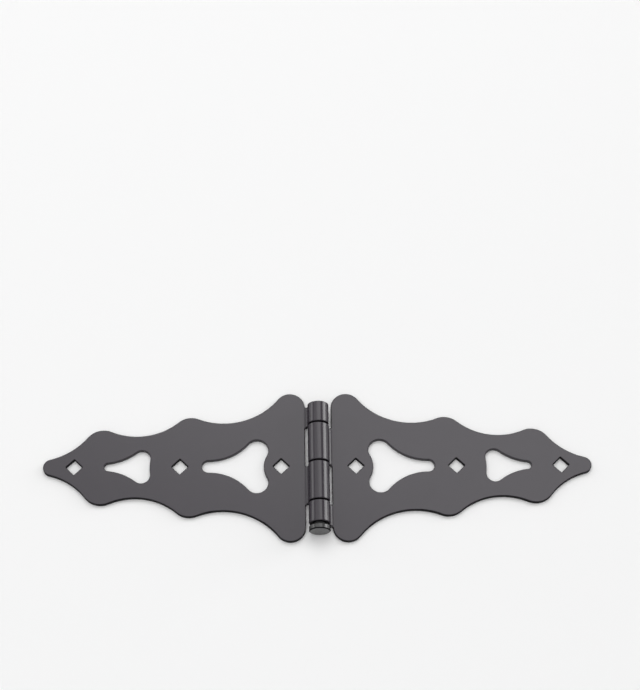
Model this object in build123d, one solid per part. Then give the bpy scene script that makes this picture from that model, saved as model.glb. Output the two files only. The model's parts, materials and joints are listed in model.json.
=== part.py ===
# Gate strap hinge: two identical stamped leaves, turned half a turn to each other, on one headed pin.
# X runs along the straps, Y along the barrel, Z up from the back faces that bear on the timber.
# The origin is midway along the barrel, on the plane of the back faces.
import math
import os

from build123d import *

# Driving dimensions, millimetres

# Sheet
sheet = 2.65                 # thickness of the stamped leaf
edge_round = 0.5             # rolled-over edge on the face side of the stamping

# Barrel and pin
pin_diameter = 7.3
pin_clearance = 0.1          # radial, between the pin and the rolled knuckles
barrel_length = 76.6
long_knuckle_pitch = 24.8    # middle of the barrel to the gap at the end of a long knuckle
knuckle_gap = 0.9            # along the pin, between neighbouring knuckles
barrel_lift = 0.7            # underside of the barrel above the back faces
corner_radius = 1.3          # where the end of a knuckle's root meets the leaf's inner edge
corner_shoulder = 0.3        # from the barrel's side to the start of that corner
root_reach = 0.8             # from the leaf's inner edge out to where the sheet starts to bend up
seam_gap = 0.4               # between the end of the curl and the root it closes on
head_diameter = 12.6
head_thickness = 2.8
head_gap = 2.1               # between the head and the end of the barrel
head_chamfer = 0.4
pin_recess = 4.0             # end of the pin inside the far end of the barrel
pin_point_chamfer = 0.8

# Scalloped outline: base lobes, two pairs of bulges and a round tip, joined by tangent hollows
leaf_height = 95.25          # over the base lobes
base_lobe_radius = 9.1
first_bulge_station = 77.05  # from the barrel's axis
first_bulge_width = 63.84
first_bulge_radius = 11.68
bulge_pitch = 52.79          # from the first bulge to the second
second_bulge_width = 47.82
second_bulge_radius = 12.04
bulge_to_tip = 35.26         # from the second bulge to the end of the strap
tip_radius = 5.17
base_hollow_radius = 42.2
middle_hollow_radius = 38.4
tip_hollow_radius = 39.65

# Three-lobed cut-outs: a pair of wide lobes towards the barrel and a neck lobe towards the tip
large_cut_station = 37.08    # wide lobes, from the barrel's axis
large_cut_spread = 20.60     # between the centres of the wide lobes
large_cut_radius = 6.81
large_neck_setback = 10.85   # neck lobe, back from the first bulge
large_neck_radius = 3.83
large_side_hollow = 31.4
large_back_hollow = 13.9
small_cut_length = 19.89     # wide lobes to neck lobe
small_cut_spread = 10.60
small_cut_radius = 5.20
small_neck_setback = 3.69    # neck lobe, back from the second bulge
small_neck_radius = 2.49
small_side_hollow = 33.3
small_back_hollow = 35.5

# Square screw holes, set on their corners along the middle of the strap
screw_hole_side = 7.06
screw_hole_corner = 0.4
first_hole_station = 22.53   # from the barrel's axis
second_hole_offset = 6.25    # past the first bulge
third_hole_inset = 18.58     # in from the tip

# Sizes that follow from them
bore_radius = pin_diameter / 2 + pin_clearance
barrel_radius = bore_radius + sheet
axis_height = barrel_lift + barrel_radius
inner_edge = barrel_radius + corner_shoulder + corner_radius
bend_start = inner_edge + root_reach
barrel_end = barrel_length / 2
second_bulge_station = first_bulge_station + bulge_pitch
tip_end = second_bulge_station + bulge_to_tip
half_gap = knuckle_gap / 2
lobe_level = leaf_height / 2 - base_lobe_radius  # middle of a base lobe, across the strap
tolerance = 1e-4             # for telling which edges lie on a surface

# The root of a knuckle is a concave bend, tangent to the flat of the leaf's face and to the barrel.
drop_to_face = axis_height - sheet
root_radius = (bend_start**2 - barrel_radius**2 + drop_to_face**2) / (2 * (barrel_radius + drop_to_face))
root_centre = Vector(bend_start, sheet + root_radius)
barrel_centre = Vector(0, axis_height)


def on_circle(centre, radius, degrees):
    """The point of a circle at an angle from +X."""
    angle = math.radians(degrees)
    return Vector(centre.X + radius * math.cos(angle), centre.Y + radius * math.sin(angle))


def bearing(start, end):
    """The angle from +X of the way from one point to another, in degrees."""
    return math.degrees(math.atan2(end.Y - start.Y, end.X - start.X))


def arc(centre, radius, start, turn):
    """An arc of a circle from a start angle through a signed turn, in degrees."""
    points = [on_circle(centre, radius, start + share * turn) for share in (0, 0.5, 1)]
    return ThreePointArc(*points)


def hollow_centre(first, second, radius):
    """Centre of the hollow, outside the outline, that touches two lobes passed counter-clockwise."""
    (centre_a, radius_a), (centre_b, radius_b) = first, second
    span = (centre_b - centre_a).length
    reach_a, reach_b = radius_a + radius, radius_b + radius
    swing = math.degrees(math.acos((span**2 + reach_a**2 - reach_b**2) / (2 * span * reach_a)))
    return on_circle(centre_a, reach_a, bearing(centre_a, centre_b) - swing)


def hollow_arc(first, second, radius):
    """The hollow between two lobes passed counter-clockwise."""
    centre = hollow_centre(first, second, radius)
    start = bearing(centre, first[0])
    turn = (bearing(centre, second[0]) - start + 180) % 360 - 180
    return arc(centre, radius, start, turn)


def lobe_run(lobes, hollows, arrival, departure):
    """Edges of a run of round lobes, counter-clockwise, joined by hollows tangent to both neighbours.

    The run reaches its first lobe and leaves its last one at the angles given, seen from their centres.
    """
    edges = []
    for here, there, radius in zip(lobes, lobes[1:], hollows):
        hollow = hollow_centre(here, there, radius)
        edges.append(arc(*here, arrival, (bearing(here[0], hollow) - arrival) % 360))
        edges.append(hollow_arc(here, there, radius))
        arrival = bearing(there[0], hollow)
    edges.append(arc(*lobes[-1], arrival, (departure - arrival) % 360))
    return edges


def lobe_pair(station, width, radius):
    """Two lobes side by side across the strap, each a centre and a radius, with their width over all."""
    offset = width / 2 - radius
    return [(Vector(station, side * offset), radius) for side in (-1, 1)]


def cut_out(station, spread, radius, neck_station, neck_radius, side_hollow, back_hollow):
    """A three-lobed piercing with its neck towards the tip."""
    low, high = lobe_pair(station, spread + 2 * radius, radius)
    neck = (Vector(neck_station, 0), neck_radius)
    back = hollow_centre(high, low, back_hollow)
    sides = lobe_run([low, neck, high], [side_hollow] * 2, bearing(low[0], back), bearing(high[0], back))
    return make_face(sides + [hollow_arc(high, low, back_hollow)])


def piercings():
    """The two cut-outs and the three square screw holes of a leaf."""
    large_neck = first_bulge_station - large_neck_setback
    small_neck = second_bulge_station - small_neck_setback
    cuts = [
        cut_out(large_cut_station, large_cut_spread, large_cut_radius, large_neck, large_neck_radius,
                large_side_hollow, large_back_hollow),
        cut_out(small_neck - small_cut_length, small_cut_spread, small_cut_radius, small_neck,
                small_neck_radius, small_side_hollow, small_back_hollow),
    ]
    stations = [first_hole_station, first_bulge_station + second_hole_offset, tip_end - third_hole_inset]
    square = RectangleRounded(screw_hole_side, screw_hole_side, screw_hole_corner)
    return cuts + [Pos(station, 0) * Rot(0, 0, 45) * square for station in stations]


def knuckle_spans():
    """Where the right-hand leaf's knuckles start and end along the barrel."""
    return [(half_gap, long_knuckle_pitch - half_gap), (-barrel_end, -long_knuckle_pitch - half_gap)]


def root_corner(end, way):
    """The rounded corner from a knuckle's end, facing -Y or +Y, to the inner edge or the base lobe."""
    inside = Vector(inner_edge + base_lobe_radius, way * min(lobe_level, way * end + corner_radius))
    run = base_lobe_radius + corner_radius
    rise = way * (end - inside.Y)
    radius = (run**2 + rise**2 - base_lobe_radius**2) / (2 * (base_lobe_radius - rise))
    centre = Vector(inner_edge - corner_radius, end + way * radius)
    start = -90 * way
    turn = (bearing(centre, inside) - start + 180) % 360 - 180
    return arc(centre, radius, start, turn)


def inner_side():
    """The edges along the barrel, from the base lobe at +Y to the one at -Y, with the knuckle tabs."""
    tab_end = -barrel_radius - sheet
    edges = []
    reached = Vector(inner_edge, lobe_level)
    for low, high in knuckle_spans():
        upper, lower = root_corner(high, 1), root_corner(low, -1)
        tab = Polyline(upper @ 0, (tab_end, high), (tab_end, low), lower @ 0)
        edges += [Line(reached, upper @ 1), upper, tab, lower]
        reached = lower @ 1
    if reached.Y > -lobe_level:
        edges.append(Line(reached, (inner_edge, -lobe_level)))
    return edges


def leaf_blank():
    """The leaf seen from above: scalloped strap, knuckle tabs with rounded corners, and piercings."""
    base = lobe_pair(inner_edge + base_lobe_radius, leaf_height, base_lobe_radius)
    first = lobe_pair(first_bulge_station, first_bulge_width, first_bulge_radius)
    second = lobe_pair(second_bulge_station, second_bulge_width, second_bulge_radius)
    tip = (Vector(tip_end - tip_radius, 0), tip_radius)
    lobes = [base[0], first[0], second[0], tip, second[1], first[1], base[1]]
    hollows = [base_hollow_radius, middle_hollow_radius, tip_hollow_radius]
    barrel_side = inner_side()
    arrival = bearing(base[0][0], barrel_side[-1] @ 1)
    departure = bearing(base[1][0], barrel_side[0] @ 0)
    blank = make_face(barrel_side + lobe_run(lobes, hollows + hollows[::-1], arrival, departure))
    for hole in piercings():
        blank -= hole
    return blank


def leaf_section():
    """The leaf seen along the barrel: flat sheet, concave root, and the curl over the pin to its seam."""
    root_angle = bearing(barrel_centre, root_centre)
    centre_distance = barrel_radius + root_radius
    seam_reach = root_radius + sheet + seam_gap
    seam_swing = math.degrees(math.acos(
        (barrel_radius**2 + centre_distance**2 - seam_reach**2) / (2 * barrel_radius * centre_distance)))
    curl = 360 - seam_swing
    root_turn = (bearing(root_centre, barrel_centre) % 360) - 270
    bore = arc(barrel_centre, bore_radius, root_angle, curl)
    outside = arc(barrel_centre, barrel_radius, root_angle, curl)
    face_bend = arc(root_centre, root_radius, 270, root_turn)
    back_bend = arc(root_centre, root_radius + sheet, 270, root_turn)
    edges = [
        bore,
        outside,
        face_bend,
        back_bend,
        Line(bore @ 1, outside @ 1),
        Line((bend_start, sheet), (tip_end, sheet)),
        Line((tip_end, sheet), (tip_end, 0)),
        Line((tip_end, 0), (bend_start, 0)),
    ]
    return make_face(edges)


def on_face_side(point):
    """Whether a point lies on the leaf's face: the flat top, the root's hollow or the barrel's outside."""
    place = Vector(point.X, point.Z)
    if point.X >= bend_start - tolerance:
        gaps = [point.Z - sheet]
    else:
        gaps = [(place - root_centre).length - root_radius, (place - barrel_centre).length - barrel_radius]
    return min(abs(gap) for gap in gaps) < tolerance


def make_leaf():
    """One leaf, on the +X side: the rolled section cut to the blank's shape, its face edges rounded."""
    section = Plane.XZ * leaf_section()
    blank = extrude(leaf_blank(), axis_height + barrel_radius + sheet)
    leaf = extrude(section, leaf_height, both=True) & blank
    walls = [face for face in leaf.faces() if abs(face.normal_at(face.center()).Z) < tolerance]
    face_edges = [edge for wall in walls for edge in wall.edges() if on_face_side(edge @ 0.5)]
    return fillet(face_edges, edge_round)


def make_pin():
    """The turned pin: a plain shank, chamfered at its end, under a flat round head."""
    head_back = -barrel_end - head_gap
    head_face = head_back - head_thickness
    point = barrel_end - pin_recess
    shank_radius = pin_diameter / 2
    head_radius = head_diameter / 2
    profile = Polyline(
        (0, head_face),
        (head_radius - head_chamfer, head_face),
        (head_radius, head_face + head_chamfer),
        (head_radius, head_back),
        (shank_radius, head_back),
        (shank_radius, point - pin_point_chamfer),
        (shank_radius - pin_point_chamfer, point),
        (0, point),
        close=True,
    )
    return Pos(0, 0, axis_height) * revolve(make_face(profile), Axis.Y)


right_leaf = make_leaf()
left_leaf = Rot(0, 0, 180) * right_leaf
hinge_pin = make_pin()

os.makedirs("parts", exist_ok=True)
for name, shape in {"right_leaf": right_leaf, "left_leaf": left_leaf, "hinge_pin": hinge_pin}.items():
    export_step(shape, f"parts/{name}.step")
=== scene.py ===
# A gate strap hinge, lying open and face up on a pale floor: two pierced leaves on one headed pin.
# Metres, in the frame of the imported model: X along the straps, Y along the barrel, Z up from the floor.
import json
import math

import bmesh
import bpy
from mathutils import Euler, Matrix, Vector


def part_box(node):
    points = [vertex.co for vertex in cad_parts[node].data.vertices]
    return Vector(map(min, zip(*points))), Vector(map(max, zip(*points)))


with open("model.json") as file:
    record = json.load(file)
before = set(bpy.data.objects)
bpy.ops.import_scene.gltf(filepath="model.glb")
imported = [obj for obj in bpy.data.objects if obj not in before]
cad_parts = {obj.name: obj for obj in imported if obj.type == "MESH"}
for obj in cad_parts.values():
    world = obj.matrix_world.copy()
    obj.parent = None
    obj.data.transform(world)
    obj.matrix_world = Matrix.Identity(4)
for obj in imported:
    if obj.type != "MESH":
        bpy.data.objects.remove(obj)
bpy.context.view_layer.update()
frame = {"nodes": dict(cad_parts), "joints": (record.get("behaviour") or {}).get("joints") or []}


# Leaves
# Each is one stamping of mild steel sheet, with its knuckles rolled up from the inner edge. The black
# stoved paint is semi-gloss, with a faint orange peel, and stays thin and dry on the sheared edges,
# which are also painted darker than such a coat, as painted shade for the dark line along them.

class Paint:
    """A socket in a node tree. Sums on it add Math nodes, and put adds any other kind of node."""

    def __init__(self, tree, link):
        self.tree = tree
        self.link = link

    def put(self, kind, settings, feeds, out=0):
        """Adds a node, sets it up, feeds its sockets and gives one of its outputs."""
        node = self.tree.nodes.new(kind)
        for name, value in settings.items():
            setattr(node, name, value)
        for key, value in feeds.items():
            if isinstance(value, Paint):
                self.tree.links.new(value.link, node.inputs[key])
            else:
                node.inputs[key].default_value = value
        return Paint(self.tree, node.outputs[out])

    def sum(self, operation, first, second):
        return self.put("ShaderNodeMath", {"operation": operation}, {0: first, 1: second})

    def __add__(self, other):
        return self.sum("ADD", self, other)

    def __sub__(self, other):
        return self.sum("SUBTRACT", self, other)

    def __rsub__(self, other):
        return self.sum("SUBTRACT", other, self)

    def __mul__(self, other):
        return self.sum("MULTIPLY", self, other)

    __radd__ = __add__
    __rmul__ = __mul__

    def grain(self, size):
        """Noise, from 0 to 1, with lumps of about the size given."""
        return self.put("ShaderNodeTexNoise", {}, {"Vector": self, "Scale": 1 / size})

    def bump(self, height, depth):
        """A normal for a surface that is this deep from its hollows to its crests."""
        return self.put("ShaderNodeBump", {}, {"Strength": 1.0, "Distance": depth, "Height": height})

    def part(self, axis):
        """One part of a vector, X, Y or Z."""
        return self.put("ShaderNodeSeparateXYZ", {}, {0: self}, out=axis)

    def squared(self):
        return self * self

    def above(self, level):
        """1 over a level, and 0 elsewhere."""
        return self.sum("GREATER_THAN", self, level)

    def below(self, level):
        """1 under a level, and 0 elsewhere."""
        return self.sum("LESS_THAN", self, level)

    def within(self, start, end):
        """1 between two levels, and 0 elsewhere."""
        return self.above(start) * self.below(end)

    def either(self, other):
        """1 where this mask or the other one is 1."""
        return self.sum("MAXIMUM", self, other)

    def fade(self, start, end):
        """0 up to the start, 1 from the end on, and smooth between."""
        feeds = {"Value": self, "From Min": start, "From Max": end}
        return self.put("ShaderNodeMapRange", {"interpolation_type": "SMOOTHSTEP"}, feeds)

    def between(self, dark, light):
        """A colour between two, by this value."""
        dark_socket, light_socket, colour_out = 6, 7, 2
        feeds = {"Factor": self, dark_socket: (*dark, 1), light_socket: (*light, 1)}
        return self.put("ShaderNodeMix", {"data_type": "RGBA"}, feeds, out=colour_out)

    def blend(self, first, second):
        """A shader between two, by this value."""
        return self.put("ShaderNodeMixShader", {}, {"Fac": self, 1: first, 2: second})

    def show(self, output):
        """Makes this shader the surface of an output node."""
        self.tree.links.new(self.link, self.tree.nodes[output].inputs["Surface"])


def new_finish(name):
    """A new material, its shader and the place on the piece, in metres."""
    material = bpy.data.materials.new(name)
    material.use_nodes = True
    tree = material.node_tree
    place = Paint(tree, tree.nodes.new("ShaderNodeTexCoord").outputs["Object"])
    return material, tree.nodes["Principled BSDF"], place


def feed(shader, **paints):
    """Links paints to a shader's sockets, named with underscores for spaces."""
    for name, paint in paints.items():
        paint.tree.links.new(paint.link, shader.inputs[name.replace("_", " ")])


def dry_edge_and_shade(shader, place, edge):
    """Turns a finish into a thin, dry coat on torn metal with painted shade, where the edge mask says."""
    # These colours are darker than thin dry paint alone: painted shade for the dark line along edges.
    dry, torn = (0.004, 0.004, 0.005), (0.012, 0.011, 0.013)
    tear_size, tear_depth = 0.0006, 0.00004
    dry_gloss, dry_shine = 0.6, 0.08
    shaded_dry_shader = place.tree.nodes.new("ShaderNodeBsdfPrincipled")
    shaded_dry_shader.inputs["Roughness"].default_value = dry_gloss
    shaded_dry_shader.inputs["Specular IOR Level"].default_value = dry_shine
    tear = place.grain(tear_size)
    feed(shaded_dry_shader, Base_Color=tear.between(dry, torn), Normal=place.bump(tear, tear_depth))
    full_coat, shaded_dry_coat = (Paint(place.tree, coat.outputs[0]) for coat in (shader, shaded_dry_shader))
    edge.blend(full_coat, shaded_dry_coat).show("Material Output")


def leaf_paint():
    """Black stoved paint with a faint orange peel, duller in the roots of the knuckles."""
    thin, thick = (0.030, 0.025, 0.033), (0.035, 0.029, 0.038)
    drift_size, gloss_size = 0.018, 0.004
    peel_size, peel_depth = 0.0013, 0.000006
    knuckle_gloss, sheet_gloss, gloss_swing, root_dull = 0.18, 0.20, 0.04, 0.5
    knuckle_reach, barrel_reach, sheet_reach = 0.0064, 0.0079, 0.0088
    level_facing, end_facing = 0.8, 0.88
    cut_outs, cut_out_reach = ((0.030, 0.072), (0.095, 0.132)), 0.018
    cut_out_wall_light = 0.6
    material, shader, place = new_finish("leaf_paint")
    along, across = place.part("X").squared(), place.part("Y").squared()

    drift = place.grain(drift_size)
    sheet = along.fade(knuckle_reach ** 2, sheet_reach ** 2)
    root = sheet * (1 - sheet)
    gloss = knuckle_gloss + (sheet_gloss - knuckle_gloss) * sheet
    gloss = gloss + gloss_swing * place.grain(gloss_size) + root_dull * root
    peel = place.bump(place.grain(peel_size), peel_depth)
    feed(shader, Base_Color=drift.between(thin, thick), Roughness=gloss, Normal=peel)

    # Sheared faces stand upright, off the barrel or on a knuckle's end, and the mask takes in most of
    # their rounded top edges. Their dark coat is partly a dry coat and partly painted shade. The walls of
    # the cut-outs get less of it, as painted light for the floor's bounce that lights them.
    facing = place.put("ShaderNodeTexCoord", {}, {}, out="Normal")
    upright = facing.part("Z").squared().below(level_facing)
    off_barrel = along.above(barrel_reach ** 2)
    knuckle_end = facing.part("Y").squared().above(end_facing)
    large, small = (along.within(start ** 2, end ** 2) for start, end in cut_outs)
    pierced = (large + small) * across.below(cut_out_reach ** 2)
    sheared_and_shaded = upright * off_barrel.either(knuckle_end) * (1 - cut_out_wall_light * pierced)
    dry_edge_and_shade(shader, place, sheared_and_shaded)
    return material


leaf_finish = leaf_paint()
for leaf in ("right_leaf", "left_leaf"):
    frame["nodes"][leaf].data.materials[0] = leaf_finish


# Hinge pin
# A turned steel pin, pushed through all four knuckles, with a flat round head at the near end.
# It is painted black like the leaves, and the marks of the turning tool show through on its head.

def pin_paint(axis, head_face):
    """Thin black paint over fine turning rings about the pin's axis, and painted shade on the head's rim.
    """
    thin, thick = (0.042, 0.042, 0.042), (0.050, 0.050, 0.050)
    ring_pitch, ring_depth = 0.00035, 0.000006
    low_gloss, gloss_swing = 0.17, 0.06
    face_reach, shaded_rim_width = 0.0057, 0.0007
    across_axis = (1, 0, 1)
    material, shader, place = new_finish("pin_paint")
    centred = place.put("ShaderNodeVectorMath", {"operation": "SUBTRACT"}, {0: place, 1: axis})
    flat = place.put("ShaderNodeVectorMath", {"operation": "MULTIPLY"}, {0: centred, 1: across_axis})
    radius = place.put("ShaderNodeVectorMath", {"operation": "LENGTH"}, {0: flat}, out="Value")
    feeds = {"W": radius, "Scale": 1 / ring_pitch}
    rings = place.put("ShaderNodeTexNoise", {"noise_dimensions": "1D"}, feeds)
    gloss = low_gloss + gloss_swing * rings
    ridges = place.bump(rings, ring_depth)
    feed(shader, Base_Color=rings.between(thin, thick), Roughness=gloss, Normal=ridges)
    # The head's rim, with the outer edge of its face and a strip of its side, gets painted shade: a dark
    # band.
    rim = radius.above(face_reach) * place.part("Y").below(head_face + shaded_rim_width)
    dry_edge_and_shade(shader, place, rim)
    return material


pin_axis = frame["joints"][0]["pos_m"]
pin_head_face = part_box("hinge_pin")[0].y
frame["nodes"]["hinge_pin"].data.materials[0] = pin_paint(pin_axis, pin_head_face)


# Floor
# A plain pale board that the hinge lies on, which isn't part of it. It keeps just under the lowest
# point of the leaves, so it also stays clear of a leaf that is swung down past the other's back.

def floor_board(side, drop):
    """A square board, level, a hair below the hinge's backs."""
    shape = bmesh.new()
    bmesh.ops.create_grid(shape, x_segments=1, y_segments=1, size=side / 2)
    bmesh.ops.translate(shape, verts=shape.verts, vec=(0, 0, -drop))
    mesh = bpy.data.meshes.new("floor")
    shape.to_mesh(mesh)
    shape.free()
    board = bpy.data.objects.new("floor", mesh)
    bpy.context.collection.objects.link(board)
    return board


def keep_under(board, hung):
    """Lets a board sink to the lowest point of a piece that hangs below it."""
    tree = bpy.data.node_groups.new("keep_under", "GeometryNodeTree")
    for way in ("INPUT", "OUTPUT"):
        tree.interface.new_socket("Geometry", in_out=way, socket_type="NodeSocketGeometry")
    flat = Paint(tree, tree.nodes.new("NodeGroupInput").outputs[0])
    as_posed = {"transform_space": "RELATIVE"}
    piece = flat.put("GeometryNodeObjectInfo", as_posed, {"Object": hung}, out="Geometry")
    lowest = flat.put("GeometryNodeBoundBox", {}, {0: piece}, out="Min").part("Z")
    sink = flat.put("ShaderNodeCombineXYZ", {}, {"Z": lowest.sum("MINIMUM", lowest, 0)})
    sunk = flat.put("GeometryNodeSetPosition", {}, {"Geometry": flat, "Offset": sink})
    tree.links.new(sunk.link, tree.nodes.new("NodeGroupOutput").inputs[0])
    board.modifiers.new("keep_under", "NODES").node_group = tree


def in_view(place):
    """1 on rays that a viewer sees, straight, in gloss or through something clear, and else 0."""
    rays = ("Is Camera Ray", "Is Glossy Ray", "Is Transmission Ray")
    straight, glossy, clear = (place.put("ShaderNodeLightPath", {}, {}, out=ray) for ray in rays)
    return straight.either(glossy).either(clear)


def floor_white(white, far_white, near, far):
    """Plain matt white, which looks as white far off, where the lamps don't reach."""
    matt_gloss, matt_shine = 1.0, 0.0
    material, shader, place = new_finish("floor_white")
    shader.inputs["Base Color"].default_value = (white, white, white, 1)
    shader.inputs["Roughness"].default_value = matt_gloss
    shader.inputs["Specular IOR Level"].default_value = matt_shine
    span = place.part("X").squared() + place.part("Y").squared()
    far_off = span.fade(near ** 2, far ** 2) * in_view(place)
    distant = place.put("ShaderNodeEmission", {}, {"Strength": far_white})
    far_off.blend(Paint(place.tree, shader.outputs[0]), distant).show("Material Output")
    return material


far_white = 0.91
floor = floor_board(side=60.0, drop=0.00005)
floor.data.materials.append(floor_white(white=0.935, far_white=far_white, near=0.45, far=1.3))
keep_under(floor, frame["nodes"]["left_leaf"])


# Light
# A soft canopy, a brighter panel hung askew under it, a bright low panel on the right and a dimmer one
# on the left, in a dim even sky. A viewer who looks out level sees a horizon as white as the floor.

def heading(azimuth, elevation):
    """The way that two angles in degrees give. Azimuth 0 is along +Y, and 90 along +X."""
    turn, rise = math.radians(azimuth), math.radians(elevation)
    return Vector((math.sin(turn) * math.cos(rise), math.cos(turn) * math.cos(rise), math.sin(rise)))


def light_panel(name, azimuth, elevation, distance, width, height, strength, aside=0.0, roll=0.0):
    """A soft lamp, white at strength 1, turned to the hinge and then moved aside along X."""
    lamp = bpy.data.lights.new(name, "AREA")
    lamp.shape = "RECTANGLE"
    lamp.size, lamp.size_y = width, height
    lamp.energy = strength * width * height * math.pi
    panel = bpy.data.objects.new(name, lamp)
    stand = Matrix.Translation(heading(azimuth, elevation) * distance + Vector((aside, 0, 0)))
    facing = Euler((math.radians(elevation - 90), 0, math.radians(-azimuth))).to_matrix().to_4x4()
    tilt = Matrix.Rotation(math.radians(roll), 4, "Z")
    panel.matrix_world = stand @ facing @ tilt
    panel.visible_camera = False
    bpy.context.collection.objects.link(panel)


light_panel(
    "canopy", azimuth=0, elevation=82, distance=3.2, width=4.7, height=6.9, strength=1.05, aside=-0.96,
)
light_panel(
    "overhead_panel", azimuth=0, elevation=57, distance=3.0, width=2.2, height=1.58, strength=1.28,
    aside=0.44, roll=-20,
)
light_panel("right_panel", azimuth=66, elevation=18, distance=9.0, width=2.7, height=5.1, strength=5.2)
light_panel("left_panel", azimuth=-66, elevation=16, distance=9.0, width=2.7, height=3.75, strength=1.9)

sky_light, sky_white = 0.30, (1, 1, 1, 1)
horizon_top, sky_start = 0.2, 0.4
world = bpy.data.worlds.new("studio")
bpy.context.scene.world = world
world.use_nodes = True
sky = world.node_tree.nodes["Background"]
sky.inputs["Color"].default_value = sky_white
sky.inputs["Strength"].default_value = sky_light
outlook = Paint(world.node_tree, world.node_tree.nodes.new("ShaderNodeTexCoord").outputs["Generated"])
horizon = outlook.put("ShaderNodeBackground", {}, {"Color": sky_white, "Strength": far_white})
low_down = (1 - outlook.part("Z").fade(horizon_top, sky_start)) * in_view(outlook)
low_down.blend(Paint(world.node_tree, sky.outputs[0]), horizon).show("World Output")


# Camera
# It looks down on the hinge from the front, turned and tilted a little, with the hinge in the lower
# half of the picture. The lens is given by its focal length in pixels of the picture.

picture_height, focal_pixels = 690, 1520.5
view_azimuth, view_elevation, view_roll = 3.494, 63.37, 2.933
view_distance, view_aim = 0.954, Vector((0.00215, 0.0826, 0))

camera = bpy.data.objects.new("camera", bpy.data.cameras.new("camera"))
bpy.context.collection.objects.link(camera)
ahead = heading(view_azimuth, -view_elevation)
stand = Matrix.Translation(view_aim - ahead * view_distance)
level = ahead.to_track_quat("-Z", "Y").to_matrix().to_4x4()
tilt = Matrix.Rotation(math.radians(view_roll), 4, "Z")
camera.matrix_world = stand @ level @ tilt
camera.data.lens = focal_pixels * camera.data.sensor_width / picture_height
bpy.context.scene.camera = camera
bpy.context.scene.view_settings.view_transform = "Standard"
